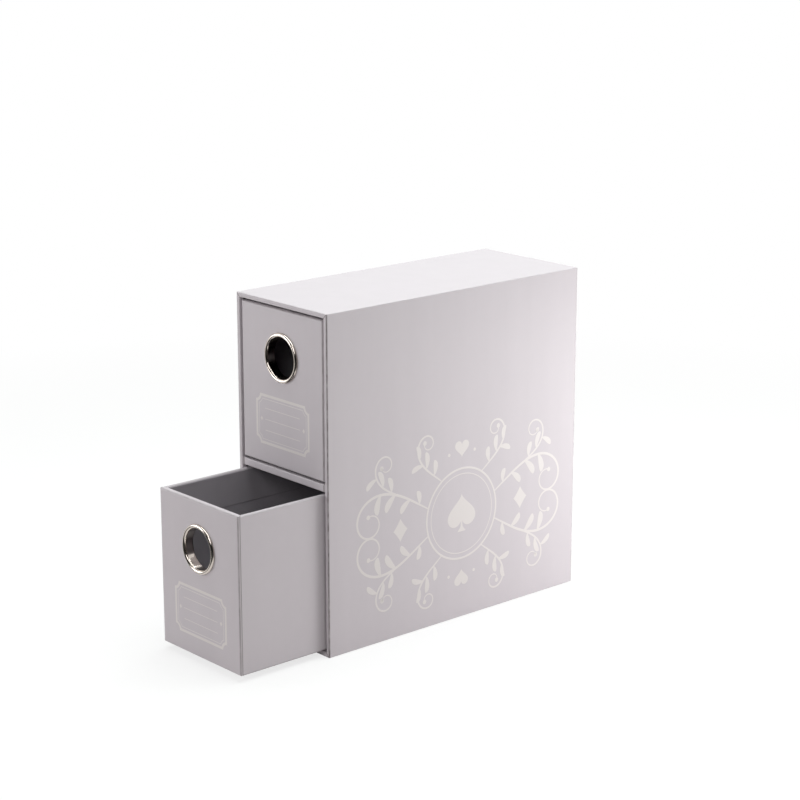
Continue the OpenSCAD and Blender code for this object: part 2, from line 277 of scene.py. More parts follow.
def shelf_cover():
    """Paper round the shelf's front edge: a rounded bar with soft ends, and a fold near each end.

    A line over the bar's top, front and underside is carried from end to end and down over both
    ends, then softened. Each fold is pressed in by GROOVE_DEPTH * groove of half the distance."""
    low, high = shelf_low.copy(), shelf_high.copy()
    near = towards_edge(SHELF_EDGE_R)
    away = near[::-1][1:]
    back = high[1]
    high[1] += 2 * SHELF_EDGE_R
    y, z = joined([
        (np.concatenate([[back], low[1] + near]), high[2]),
        (low[1], np.concatenate([high[2] - away, low[2] + near])),
        (np.concatenate([low[1] + away, [back]]), low[2]),
    ])
    fold_x = high[0] - SHELF_FOLD_IN
    by_fold = CORNER_STEPS[CORNER_STEPS < SHELF_EDGE_R / 2]
    half = np.concatenate([fold_x + by_fold, high[0] - near, np.full(len(away), high[0])])
    x = np.concatenate([-half[::-1], half])
    shrink = np.concatenate([np.zeros(len(half) - len(away)), away])
    shrink = np.concatenate([shrink[::-1], shrink])[None, :]
    y = np.maximum(y[:, None], low[1] + shrink)
    z = np.clip(z[:, None], low[2] + shrink, high[2] - shrink)
    grid = np.stack(np.broadcast_arrays(x[None, :], y, z), -1)
    points = soften(grid, low, high, SHELF_EDGE_R)
    on_front = np.clip(1 - (points[..., 1] - low[1]) / SHELF_EDGE_R, 0, 1)
    from_fold = np.abs(points[..., 0]) - fold_x
    points[..., 1] += GROOVE_DEPTH * groove(from_fold / 2) * on_front
    # The seam mark paints shade along each fold on the front.
    return piece("shelf_cover", [sheet(points, (low + high) / 2, shade(from_fold / 2) * on_front)], PAPER_T)


# Drawers. Their sizes are one drawer's own, with its face at y = 0 and its underside at z = 0.

tray_low, tray_high = corners("lower_drawer_tray_wrap")
face_low = corners("lower_drawer_face_wrap")[0]
ring_low, ring_high = corners("lower_drawer_finger_ring")
front_board_high = corners("lower_drawer_front_board")[1]
washer_low, washer_high = corners("lower_drawer_ring_washer")
half_w = tray_high[0]
rim_z = tray_high[2] - tray_low[2]
tray_l = tray_high[1] - face_low[1]
seam_y = tray_low[1] - face_low[1]
wall_t = half_w - front_board_high[0] + PAPER_T
front_t = front_board_high[1] + PAPER_T - face_low[1]
rim_r = wall_t / 2
ring_z = (ring_low[2] + ring_high[2]) / 2 - tray_low[2]
bead_out = (ring_high[2] - ring_low[2]) / 2
bead_front = ring_low[1] - face_low[1]
bore_r = bead_out - 2 * BEAD_R
washer_y = washer_low[1] - face_low[1]
washer_t = washer_high[1] - washer_low[1]
washer_out = (washer_high[2] - washer_low[2]) / 2
hole_r = bore_r + TUBE_T + HOLE_CLEARANCE
drawer_middle = np.array([0, tray_l / 2, rim_z / 2])
DRAWERS = {name: np.array([0, corners(name + "_face_wrap")[0][1], corners(name + "_tray_wrap")[0][2]])
           for name in ("lower_drawer", "upper_drawer")}


def tray_cover(name, place):
    """Paper over a tray's underside, sides and back, round its rim and down inside.

    A profile of inset and height is carried along the left wall, the back and the right wall. It
    runs from the middle of the underside up the outer face, round the rim on half a circle and down
    the inner face. Over the rim the paper starts on the mitre with the face's paper. Along its
    front end, and at the back mitres, a bell-shaped groove is pressed in along the profile's
    inward normal."""
    a, half_turn = quarter(), np.linspace(0, math.pi, 15)
    inset, height, mitre, edge = joined([
        (np.array([half_w, 2 * EDGE_R]), 0, 0, 0),
        (EDGE_R * (1 - np.sin(a)), EDGE_R * (1 - np.cos(a)), 0, FOOT_WEAR_AND_SHADE),
        (0, np.array([2 * EDGE_R, rim_z - rim_r - EDGE_R]), 0, 0),
        (rim_r * (1 - np.cos(half_turn)), rim_z - rim_r * (1 - np.sin(half_turn)), np.sin(half_turn),
         RIM_WEAR_AND_SHADE),
        (wall_t, np.array([rim_z - rim_r - EDGE_R, rim_z - TURN_DOWN]), 0, 0),
    ])
    on_top = height > rim_z - TURN_DOWN - EDGE_R
    start = seam_y + np.where(on_top, np.minimum(inset, wall_t), 0) * (front_t - seam_y) / wall_t
    tangent = np.stack([np.gradient(inset), np.gradient(height)], -1)
    normal = np.stack([tangent[:, 1], -tangent[:, 0]], -1)
    normal /= np.linalg.norm(normal, axis=1, keepdims=True)
    from_start = CORNER_STEPS[CORNER_STEPS >= 0]
    rows = []
    for d, z, y0, m, n in zip(inset, height, start, mitre, normal):
        along_in, along_out = turn(CORNER_STEPS, max(EDGE_R - d, TINY_R))
        left_x = np.concatenate([np.full(len(from_start), d - half_w), d - half_w + along_out])
        left_x = np.minimum(left_x, 0)
        left_y = np.concatenate([y0 + from_start, tray_l - d + along_in])
        pressed = np.concatenate([groove(from_start), m * groove(CORNER_STEPS)]) * GROOVE_DEPTH
        x, y = left_x + pressed * n[0], left_y - pressed * n[0] * (left_y > tray_l / 2)
        rows.append(np.stack([x, y, z + pressed * n[1]], -1))
    left = np.array(rows)
    right = left[:, ::-1] * [-1, 1, 1]
    # Seam marks at the front end and the back mitres, and edge marks on the foot and rim, are dark joints
    # and wear with painted shade.
    ends = shade(from_start)[None, :] * np.ones((len(inset), 1))
    seam = np.concatenate([ends, mitre[:, None] * shade(CORNER_STEPS)[None, :]], 1)
    seam = np.concatenate([seam, seam[:, ::-1]], 1)
    points = np.concatenate([left, right], 1) + place
    return piece(name + "_tray_cover", [sheet(points, drawer_middle + place, seam, edge[:, None])], PAPER_T)


def face_cover(name, place):
    """Paper over a drawer's face, its edges, and the front wall's rim down to the inside.

    The face is a fan of rows from the ring's hole out to the rectangle, then over its edges on a
    quarter circle and back along them. The rim is a line over the front wall, carried from side to
    side with its ends on the mitres; its height falls along both ends as on the tray's round rim."""
    a = quarter(8)
    behind = seam_y - CORNER_STEPS[(CORNER_STEPS >= 0) & (CORNER_STEPS < seam_y - FACE_EDGE_R)][::-1]
    inset, depth, edge = joined([
        (FACE_EDGE_R * (1 - np.sin(a)), FACE_EDGE_R * (1 - np.cos(a)), FOOT_WEAR_AND_SHADE * np.sin(2 * a)),
        (0, behind, 0),
        (np.array([wall_t / 2]), seam_y, 0),
    ])
    border = round_rows((-half_w, 0), (half_w, rim_z), inset, depth, EDGE_R - inset, 24)
    way = border[0] - [0, 0, ring_z]
    hole = way / np.linalg.norm(way, axis=1, keepdims=True) * hole_r + [0, 0, ring_z]
    shares = np.array([0, 0.02, 0.3, 0.65, 0.97])
    fan = hole + (border[0] - hole) * shares[:, None, None]
    points = np.concatenate([fan, border])
    depth = np.concatenate([np.zeros(len(fan)), depth])[:, None]
    edge = np.concatenate([np.zeros(len(fan)), edge])[:, None]
    at_side = np.clip((np.abs(points[..., 0]) - half_w) / EDGE_R + 1, 0, 1)
    at_foot = np.clip(1 - points[..., 2] / EDGE_R, 0, 1)
    pull = GROOVE_DEPTH * groove(seam_y - depth)
    points[..., 0] -= np.sign(points[..., 0]) * pull * at_side
    points[..., 2] += pull * at_foot
    # The seam mark along the mitre with the tray's paper is a dark joint with painted shade; the edge mark
    # on the face's edges is wear and painted shade.
    seam = shade(seam_y - depth) * np.maximum(at_side, at_foot)
    face = sheet(points + place, drawer_middle + place, seam, edge, True)

    y, z, edge = joined([
        (np.linspace(seam_y, front_t - rim_r, 4), rim_z, 0),
        (front_t - rim_r * (1 - np.sin(a)), rim_z - rim_r * (1 - np.cos(a)), RIM_WEAR_AND_SHADE),
        (front_t, np.array([rim_z - rim_r - EDGE_R, ring_z + hole_r + EDGE_R]), 0),
    ])
    reach = half_w - (y - seam_y) * wall_t / (front_t - seam_y)
    from_end = np.concatenate([CORNER_STEPS[CORNER_STEPS >= 0], np.linspace(4, 30, 6) * MM])
    x = np.concatenate([-reach[:, None] + from_end, (reach[:, None] - from_end)[:, ::-1]], 1)
    overhang = np.maximum(rim_r - half_w + np.abs(x), 0)
    fall = rim_r - np.sqrt(np.maximum(rim_r ** 2 - overhang ** 2, 0))
    from_end = np.concatenate([from_end, from_end[::-1]])
    height = np.minimum(z[:, None], rim_z - fall) - GROOVE_DEPTH * groove(from_end)
    rim = np.stack(np.broadcast_arrays(x, y[:, None], height), -1)
    behind_rim = drawer_middle * [1, 0, 1] + [0, front_t - rim_r, -rim_r]
    # The rim's seam mark at its ends and its edge mark paint shade as well as a dark joint and wear.
    over = sheet(rim + place, behind_rim + place, shade(from_end)[None, :], edge[:, None])
    return piece(name + "_face_cover", [face, over], PAPER_T)


def turned(name, radius, y, place, around=160):
    """A closed profile of radius and depth y, turned about the finger hole's axis.

    Its points are x = radius * cos t, z = ring_z + radius * sin t, with t all the way round."""
    angle = np.linspace(0, 2 * math.pi, around, endpoint=False)
    radius, y = np.append(radius, radius[0]), np.append(y, y[0])
    x = np.outer(radius, np.cos(angle))
    z = np.outer(radius, np.sin(angle)) + ring_z
    points = np.stack([x, np.broadcast_to(y[:, None], x.shape), z], -1)
    return piece(name, [sheet(points + place, place, closed=True)])


def finger_ring(name, place):
    """A nickel ring: a tube through the front, a round bead before the face and a curl behind.

    Its profile goes up the bore, round the bead on an arc from its inner side to the face, back
    along the face and the tube's outer side, and round the curl on half a circle."""
    back = washer_y + washer_t
    centre = bead_front + BEAD_R
    middle_r = bore_r + BEAD_R
    tube_r = bore_r + TUBE_T
    foot = math.asin(centre / BEAD_R)
    arc = np.linspace(0, math.pi - foot, 22)
    curl = np.linspace(0, math.pi, 9)
    radius, y = joined([
        (bore_r, np.linspace(back, centre, 5)[:-1]),
        (middle_r - BEAD_R * np.cos(arc), centre - BEAD_R * np.sin(arc)),
        (np.array([tube_r + EDGE_R, tube_r]), 0),
        (tube_r, np.array([EDGE_R / 2, back])),
        (np.array([bore_r + 2 * CURL_R]), back),
        (bore_r + CURL_R + CURL_R * np.cos(curl)[1:-1], back + CURL_R * np.sin(curl)[1:-1]),
    ])
    return turned(name + "_ring", radius, y, place)


def ring_washer(name, place):
    """A flat washer behind the lining: a rectangle turned round, its back corners cut by a third."""
    bevel = washer_t / 3
    radius, y = joined([
        (np.array([hole_r, hole_r, hole_r + bevel, washer_out - bevel, washer_out, washer_out]),
         washer_y + np.array([0, washer_t - bevel, washer_t, washer_t, washer_t - bevel, 0])),
    ])
    return turned(name + "_washer", radius, y, place)


# Prints: thin layers of ink, each a flat figure with a height, laid on a face

INK_T = 0.02 * MM
INK_STEP = 0.004 * MM

# How far behind a print lies the point that its faces look away from
BEHIND_PRINT = 100 * MM

# The label's frame, half its size, and the thin lines and the diamonds in it
LABEL_X, LABEL_Z, LABEL_NOTCH = 26 * MM, 16 * MM, 4 * MM
LABEL_UP = 28 * MM
FRAME_W, THIN_W, FRAME_GAP = 1.7 * MM, 0.4 * MM, 1.2 * MM
LINE_REACH, LINE_PITCH = 17 * MM, 7 * MM
SMALL_DIAMOND, SMALL_DIAMOND_X = 1.6 * MM, 20.5 * MM

# The side's print: its middle, its double ring, its balls and dots, and what stands round the ring
PRINT_Y, PRINT_Z = 4 * MM, 70 * MM
OUTER_RING, INNER_RING = (30.6 * MM, 29.3 * MM), (26.6 * MM, 26.0 * MM)
SPADE, SPADE_UP = 12 * MM, 2 * MM
STEM = np.array([[0, 0], [1.0, -9], [3.6, -12], [-3.6, -12], [-1.0, -9]]) * MM
STEM_MIDDLE = np.array([0, -9.5 * MM])
DIAMOND, DIAMOND_X = 7.5 * MM, 52 * MM
HEART, HEART_Z = 6 * MM, 43 * MM
DOT_R, DOT_X, DOT_IN = 1.1 * MM, 11 * MM, 2.5 * MM
BALL_R = 1.5 * MM

# The side's print, upper and lower half, each with its ink's height: as mirrored curls touch, one is higher
HALVES = ((1, 1.0), (-1, 1.15))


def stroke(path, half_width, height):
    """A line of ink along a path in the plane, with a half width at each point and sloping sides.

    Each point is moved both ways along the path's normal, which is its direction turned a quarter."""
    way = np.gradient(path, axis=0)
    way /= np.maximum(np.linalg.norm(way, axis=1, keepdims=True), NO_LENGTH)
    normal = np.stack([-way[:, 1], way[:, 0]], -1)
    slope = 0.85
    across = np.array([-1, -slope, slope, 1])
    flat = path[:, None, :] + normal[:, None, :] * (half_width[:, None] * across)[..., None]
    up = np.broadcast_to([0, height, height, 0], flat.shape[:2])
    return np.concatenate([flat, up[..., None]], -1), False


def filled(outline, centre, height):
    """A filled figure whose whole outline is in sight of a centre.

    Its rows are centre + share * (outline - centre), and its rim slopes down to nothing."""
    shares = np.array([0.001, 0.5, 0.96, 1.0])
    flat = centre + (outline - centre)[None, :, :] * shares[:, None, None]
    up = np.broadcast_to(np.array([height, height, height, 0])[:, None], flat.shape[:2])
    return np.concatenate([flat, up[..., None]], -1), True


def band(outer, inner, height):
    """A closed band of ink between two outlines that have as many points.

    Its rows are outer + share * (inner - outer), and both its rims slope down to nothing."""
    shares = np.array([0, 0.08, 0.92, 1])
    flat = outer[None] + (inner - outer)[None] * shares[:, None, None]
    up = np.broadcast_to(np.array([0, height, height, 0])[:, None], flat.shape[:2])
    return np.concatenate([flat, up[..., None]], -1), True


def print_on(name, figures, origin, across, up, out):
    """One object from flat figures, laid on a face at origin + a * across + b * up + height * out."""
    axes = np.array([across, up, out], float)
    behind = np.asarray(origin) - np.asarray(out) * BEHIND_PRINT
    laid = [(np.asarray(origin) + figure @ axes, closed) for figure, closed in figures]
    return piece(name, [sheet(points, behind, closed=closed) for points, closed in laid], smooth=False)


def ticket(half_x, half_z, notch, width, steps=9):
    """A rectangle's outline with quarter circles cut out of its corners, drawn in by a width.

    Each arc is corner - (notch + width) * (sin t, cos t). It stays round the outer rectangle's corner,
    and ends where it meets the sides drawn in, at sin t = width / (notch + width)."""
    radius = notch + width
    start = math.asin(width / radius)
    angle = np.linspace(start, math.pi / 2 - start, steps)
    corner = np.array([half_x, half_z]) - radius * np.stack([np.sin(angle[::-1]), np.cos(angle[::-1])], -1)
    corner = corner[::-1]
    signs = [(1, 1), (-1, 1), (-1, -1), (1, -1)]
    parts = [corner[::step] * sign for sign, step in zip(signs, (1, -1, 1, -1))]
    return np.concatenate(parts)


def label(name, place):
    """A ticket frame with three writing lines and two small diamonds, printed on a drawer's face."""
    figures = []
    for inset, width in ((0, FRAME_W), (FRAME_W + FRAME_GAP, THIN_W)):
        outer, inner = (ticket(LABEL_X, LABEL_Z, LABEL_NOTCH, drawn) for drawn in (inset, inset + width))
        figures.append(band(outer, inner, INK_T))
    for row in (-1, 0, 1):
        x = np.linspace(-LINE_REACH, LINE_REACH, 9)
        line = np.stack([x, np.full(len(x), row * LINE_PITCH)], -1)
        figures.append(stroke(line, np.full(len(x), THIN_W / 2), INK_T))
    for side in (-1, 1):
        spot = np.array([side * SMALL_DIAMOND_X, 0])
        figures.append(filled(diamond(SMALL_DIAMOND) + spot, spot, INK_T))
    origin = place + [0, 0, LABEL_UP]
    return print_on(name + "_label", figures, origin, (1, 0, 0), (0, 0, 1), (0, -1, 0))


def diamond(size, steps=12):
    """A rhombus with hollow sides: |x / 0.78|^0.9 + |z|^0.9 = 1, times its size."""
    angle = np.linspace(0, 2 * math.pi, 4 * steps, endpoint=False)
    x, z = np.cos(angle), np.sin(angle)
    reach = (np.abs(x / 0.78) ** 0.9 + np.abs(z) ** 0.9) ** (-1 / 0.9)
    return np.stack([x, z], -1) * reach[:, None] * size


def circle(radius, steps=72, centre=(0, 0)):
    """Points round a circle: centre + radius * (cos t, sin t)."""
    angle = np.linspace(0, 2 * math.pi, steps, endpoint=False)
    return np.asarray(centre) + radius * np.stack([np.cos(angle), np.sin(angle)], -1)


def scroll(start, heading, length, bend, curl, power=2.8, steps=110):
    """A path that curls up: its heading is heading + bend * s + curl * s^power, with s from 0 to 1.

    Its places are the running sum of the unit ways along those headings."""
    s = np.linspace(0, 1, steps)
    angle = math.radians(heading) + bend * s + curl * s ** power
    way = np.stack([np.cos(angle), np.sin(angle)], -1)
    walked = np.concatenate([np.zeros((1, 2)), np.cumsum((way[1:] + way[:-1]) / 2, axis=0)])
    return np.asarray(start) + walked * length / (steps - 1)


def leaf(base, heading, length, width, bend=0.12, steps=28):
    """A lens with its base at a point, turned to a heading. Along it goes (1 - cos t) / 2 of its length.

    Its midline bows by bend * sin t, and its half width is width / 2 * sin t * (1 - 0.35 cos t)."""
    t = np.linspace(0, math.pi, steps)
    half = width / length * np.sin(t) * (1 - 0.35 * np.cos(t)) / 2
    along = (1 - np.cos(t)) / 2
    upper = np.stack([along, bend * np.sin(t) + half], -1)
    lower = np.stack([along, bend * np.sin(t) - half], -1)[::-1][1:-1]
    angle = math.radians(heading)
    turning = np.array([[math.cos(angle), math.sin(angle)], [-math.sin(angle), math.cos(angle)]])
    outline = np.asarray(base) + np.concatenate([upper, lower]) * length @ turning
    middle = np.asarray(base) + np.array([0.5, bend]) * length @ turning
    return outline, middle


def heart(size, steps=72):
    """x = 16 sin^3 t, z = 13 cos t - 5 cos 2t - 2 cos 3t - cos 4t + 2, at a sixteenth of the size."""
    t = np.linspace(0, 2 * math.pi, steps, endpoint=False)
    z = 13 * np.cos(t) - 5 * np.cos(2 * t) - 2 * np.cos(3 * t) - np.cos(4 * t) + 2
    return np.stack([16 * np.sin(t) ** 3, z], -1) * size / 16


def scroll_work():
    """The figures in one quarter of the print: three curls that end in balls, and leaves along them.

    A curl's half width is its width * (0.22 + 0.28 sin(pi s^0.7)), with s from 0 to 1 along it."""
    main = scroll((28.5 * MM, 9 * MM), 30, 112 * MM, 0.35, -7.6, 2.6)
    upper = scroll((17 * MM, 24.5 * MM), 38, 66 * MM, -0.35, 8.0)
    side = scroll(main[25], 27, 64 * MM, -0.45, 7.6, 2.4)
    figures = []
    for path, wide in ((main, 1.7), (upper, 1.4), (side, 1.3)):
        share = np.linspace(0, 1, len(path))
        half_width = wide * MM * (0.22 + 0.28 * np.sin(math.pi * share ** 0.7))
        figures.append(stroke(path, half_width, INK_T + len(figures) * INK_STEP))
        figures.append(filled(circle(BALL_R, 36, path[-1]), path[-1], INK_T + 4 * INK_STEP))
    leaves = [
        (main[9], 80, 9, 3.6), (main[42], -75, 13, 4.4), (main[30], -50, 13, 4.4), (main[17], -42, 11, 4.0),
        (upper[15], 95, 10, 3.6), (upper[29], 90, 11, 3.6), (upper[34], -15, 10, 3.4),
        (upper[44], 75, 9, 3.2), (side[17], 78, 10, 3.6), (side[31], 72, 11, 3.6), (side[44], -35, 10, 3.4),
    ]
    for base, heading, length, width in leaves:
        outline, middle = leaf(base, heading, length * MM, width * MM)
        figures.append(filled(outline, middle, INK_T + 5 * INK_STEP))
    return figures


def casing_print():
    """Pale scroll work about a spade in a double ring, printed on the casing's right side.

    One quarter of the scroll work is mirrored left to right and top to bottom. The spade is a heart
    turned over, on a stem, and a diamond or a small heart with two dots stands on each side."""
    quarter_work = scroll_work()
    figures = []
    for side in (1, -1):
        for end, layer in HALVES:
            figures += [(figure * [side, end, layer], closed) for figure, closed in quarter_work]
    for (outer, inner), height in ((OUTER_RING, INK_T + 6 * INK_STEP), (INNER_RING, INK_T)):
        figures.append(band(circle(outer, 120), circle(inner, 120), height))
    spade = heart(SPADE) * [1, -1] + [0, SPADE_UP]
    figures.append(filled(spade, np.array([0, SPADE_UP / 2]), INK_T + INK_STEP))
    figures.append(filled(STEM, STEM_MIDDLE, INK_T))
    for side in (-1, 1):
        spot = np.array([side * DIAMOND_X, 0])
        figures.append(filled(diamond(DIAMOND) + spot, spot, INK_T))
    for end in (-1, 1):
        spot = np.array([0, end * HEART_Z])
        figures.append(filled(heart(HEART) * [1, end] + spot, spot, INK_T))
        for side in (-1, 1):
            dot = spot + [side * DOT_X, -end * DOT_IN]
            figures.append(filled(circle(DOT_R, 30, dot), dot, INK_T))
    place = np.array([cover_high[0], PRINT_Y, PRINT_Z])
    return print_on("casing_print", figures, place, (0, 1, 0), (0, 0, 1), (1, 0, 0))


# Finishes

def group(name, inputs, outputs):
    """A new shader node group with these float or colour sockets, and its input and output nodes."""
    tree = bpy.data.node_groups.new(name, "ShaderNodeTree")
    for socket, kind, value in inputs:
        made = tree.interface.new_socket(socket, in_out="INPUT", socket_type="NodeSocket" + kind)
        made.default_value = value
    for socket, kind in outputs:
        tree.interface.new_socket(socket, in_out="OUTPUT", socket_type="NodeSocket" + kind)
    return tree, tree.nodes.new("NodeGroupInput"), tree.nodes.new("NodeGroupOutput")


def node(tree, kind, values=None, **settings):
    """A node with values on its sockets, by name or number, and settings given as attributes."""
    made = tree.nodes.new("ShaderNode" + kind)
    for key, value in settings.items():
        setattr(made, key, value)
    for key, value in (values or {}).items():
        if isinstance(value, bpy.types.NodeSocket):
            tree.links.new(value, made.inputs[key])
        else:
            made.inputs[key].default_value = value
    return made


def mixed(tree, share, first, second):
    """A colour mix of two colours or links by a share."""
    return node(tree, "Mix", {0: share, 6: first, 7: second}, data_type="RGBA").outputs[2]


def noise(tree, at, scale, detail, roughness=0.5):
    """A noise between 0 and 1."""
    values = {"Vector": at, "Scale": scale, "Detail": detail, "Roughness": roughness}
    return node(tree, "TexNoise", values).outputs["Fac"]


# Paper: how fine its streaks, fibre and clouds are, how much of the fold's colour edges take as wear and
# painted shade and seams take as a dark joint with painted shade, how far its roughness varies, and the
# depth
# of its waves in mm. Lining: how far its step spreads, how much its bump shows, and the share of its
# painted
# shade line. Nickel: how fine its haze and tint are, the tint's share of its colour, and the haze's depth.
STREAK_SCALE = (70.0, 70.0, 5.0)
FIBRE_SCALE, CLOUD_SCALE = 1400.0, 160.0
EDGE_SHARE, SEAM_AND_SHADE_SHARE = 1.2, 0.8
ROUGH_SWING, WAVE_DEPTH = 0.12, 0.05
STEP_REACH, STEP_STRENGTH, STEP_SHADE = 0.3 * MM, 0.4, 0.9
HAZE_SCALE, TINT_SCALE, TINT_SHARE, HAZE_DEPTH = 900.0, 120.0, 0.93, 0.004 * MM


def paper_group():
    """Coated paper: fine fibre, soft upright streaks of tone that are partly a painted sheen, and painted
    shade with wear along folds and edges.

    Its tone is 1 + Mottle * (mean of fibre and cloud - 0.5) + Streak * (streak - 0.5)."""
    tree, into, out = group(
        "coated_paper",
        [("Color", "Color", (0.6, 0.6, 0.6, 1)), ("Fold Color", "Color", (0.15, 0.12, 0.11, 1)),
         ("Mottle", "Float", 0.03), ("Streak", "Float", 0.03), ("Grain Depth", "Float", 0.02),
         ("Roughness", "Float", 0.42)],
        [("Color", "Color"), ("Roughness", "Float"), ("Normal", "Vector")])
    at = node(tree, "TexCoord").outputs["Object"]
    stretched = node(tree, "Mapping", {"Vector": at, "Scale": STREAK_SCALE}).outputs[0]
    streak_and_sheen = noise(tree, stretched, 1.0, 2.0)
    fibre = noise(tree, at, FIBRE_SCALE, 3.0, 0.6)
    cloud = noise(tree, at, CLOUD_SCALE, 2.0)

    def math_node(operation, *values):
        """The outcome of one step of arithmetic."""
        return node(tree, "Math", dict(enumerate(values)), operation=operation).outputs[0]

    def swing(value, amount):
        """(value - 0.5) * amount."""
        return math_node("MULTIPLY", math_node("SUBTRACT", value, 0.5), amount)

    given = into.outputs
    half = math_node("MULTIPLY", math_node("ADD", fibre, cloud), 0.5)
    # The streaks' share of the tone is partly a painted sheen: lighter and darker upright bands in the
    # colour standing in for reflections.
    tone = math_node("ADD", swing(half, given["Mottle"]), swing(streak_and_sheen, given["Streak"]))
    tone = math_node("ADD", tone, 1.0)
    toned = node(tree, "VectorMath", {0: given["Color"], "Scale": tone}, operation="SCALE").outputs[0]
    seam = node(tree, "Attribute", attribute_name="seam").outputs["Fac"]
    edge = node(tree, "Attribute", attribute_name="edge").outputs["Fac"]
    # Edges take the fold colour as wear and painted shade, and seams as a dark joint with painted shade.
    wear_and_shade = math_node("MULTIPLY", math_node("MULTIPLY", edge, cloud), EDGE_SHARE)
    seam_and_shade = math_node("MULTIPLY", seam, SEAM_AND_SHADE_SHARE)
    colour = mixed(tree, wear_and_shade, toned, given["Fold Color"])
    colour = mixed(tree, seam_and_shade, colour, given["Fold Color"])
    rough = math_node("ADD", swing(cloud, ROUGH_SWING), given["Roughness"])
    rough = math_node("MULTIPLY_ADD", rough, seam_and_shade, rough)
    grain = math_node("MULTIPLY", fibre, given["Grain Depth"])
    waves = math_node("MULTIPLY", streak_and_sheen, WAVE_DEPTH)
    height = math_node("ADD", grain, waves)
    bump = node(tree, "Bump", {"Strength": 1.0, "Distance": MM, "Height": height}).outputs[0]
    for socket, value in (("Color", colour), ("Roughness", rough), ("Normal", bump)):
        tree.links.new(value, out.inputs[socket])
    return tree


def srgb(red, green, blue):
    """A colour given in the 0 to 255 of a screen, as linear light."""
    values = [v / 255 for v in (red, green, blue)]
    return tuple(v / 12.92 if v <= 0.04045 else ((v + 0.055) / 1.055) ** 2.4 for v in values) + (1.0,)


def material(name, **sockets):
    """A material with one Principled BSDF, with plain values on the shader's own sockets."""
    made = bpy.data.materials.new(name)
    made.use_nodes = True
    shader = made.node_tree.nodes["Principled BSDF"]
    for socket, value in sockets.items():
        shader.inputs[socket.replace("_", " ")].default_value = value
    return made, made.node_tree, shader


def papered(name, colour, fold, mottle, streak_and_sheen, depth, roughness, **sockets):
    """A finish made with the coated paper group."""
    made, tree, shader = material(name, **sockets)
    paper = tree.nodes.new("ShaderNodeGroup")
    paper.node_tree = coated_paper
    values = {"Color": colour, "Fold Color": fold, "Mottle": mottle, "Streak": streak_and_sheen, "Grain Depth": depth,
              "Roughness": roughness}
    for socket, value in values.items():
        paper.inputs[socket].default_value = value
    tree.links.new(paper.outputs["Color"], shader.inputs["Base Color"])
    tree.links.new(paper.outputs["Roughness"], shader.inputs["Roughness"])
    tree.links.new(paper.outputs["Normal"], shader.inputs["Normal"])
    return made


def lined(name, fold_z):
    """Grey lining paper, raised by the covering paper's end that it hides above a height.

    With a smooth step from 0 below to 1 above, a line of painted shade along the step takes a share of
    STEP_SHADE * step * (1 - step) of the dark colour."""
    made = papered(name, LINING_COLOUR, LINING_FOLD_AND_SHADE, 0.12, 0.05, 0.02, 0.6)
    tree, shader = made.node_tree, made.node_tree.nodes["Principled BSDF"]
    height = node(tree, "SeparateXYZ", {0: node(tree, "TexCoord").outputs["Object"]}).outputs["Z"]
    above = node(tree, "MapRange", {0: height, 1: fold_z - STEP_REACH, 2: fold_z + STEP_REACH},
                 interpolation_type="SMOOTHSTEP").outputs[0]
    flat, grain = (shader.inputs[key].links[0].from_socket for key in ("Base Color", "Normal"))
    # A painted shade line along the step, where the covering paper's end would cast shade.
    below = node(tree, "Math", {0: 1.0, 1: above}, operation="SUBTRACT").outputs[0]
    line = node(tree, "Math", {0: above, 1: below}, operation="MULTIPLY").outputs[0]
    line = node(tree, "Math", {0: line, 1: STEP_SHADE}, operation="MULTIPLY").outputs[0]
    values = {"Strength": STEP_STRENGTH, "Distance": PAPER_T, "Height": above, "Normal": grain}
    step = node(tree, "Bump", values)
    tree.links.new(mixed(tree, line, flat, LINING_FOLD_AND_SHADE), shader.inputs["Base Color"])
    tree.links.new(step.outputs[0], shader.inputs["Normal"])
    return made


def nickel(name, colour, roughness):
    """Bright nickel plate with a little haze: its roughness is roughness * (0.5 + haze)."""
    made, tree, shader = material(name, Metallic=1.0)
    at = node(tree, "TexCoord").outputs["Object"]
    haze = noise(tree, at, HAZE_SCALE, 4.0)
    cloud = noise(tree, at, TINT_SCALE, 2.0)
    values = {0: haze, 1: roughness, 2: roughness / 2}
    rough = node(tree, "Math", values, operation="MULTIPLY_ADD").outputs[0]
    tint = mixed(tree, cloud, colour, tuple(TINT_SHARE * c for c in colour[:3]) + (1.0,))
    bump = node(tree, "Bump", {"Strength": 0.4, "Distance": HAZE_DEPTH, "Height": haze}).outputs[0]
    tree.links.new(tint, shader.inputs["Base Color"])
    tree.links.new(rough, shader.inputs["Roughness"])
    tree.links.new(bump, shader.inputs["Normal"])
    return made


coated_paper = paper_group()
COVER_COLOUR = srgb(207, 200, 205)
# The fold colour that seams and edges take: dark joints and wear, with painted shade.
FOLD_WEAR_AND_SHADE_COLOUR = srgb(96, 86, 84)
LINING_COLOUR = srgb(166, 161, 167)
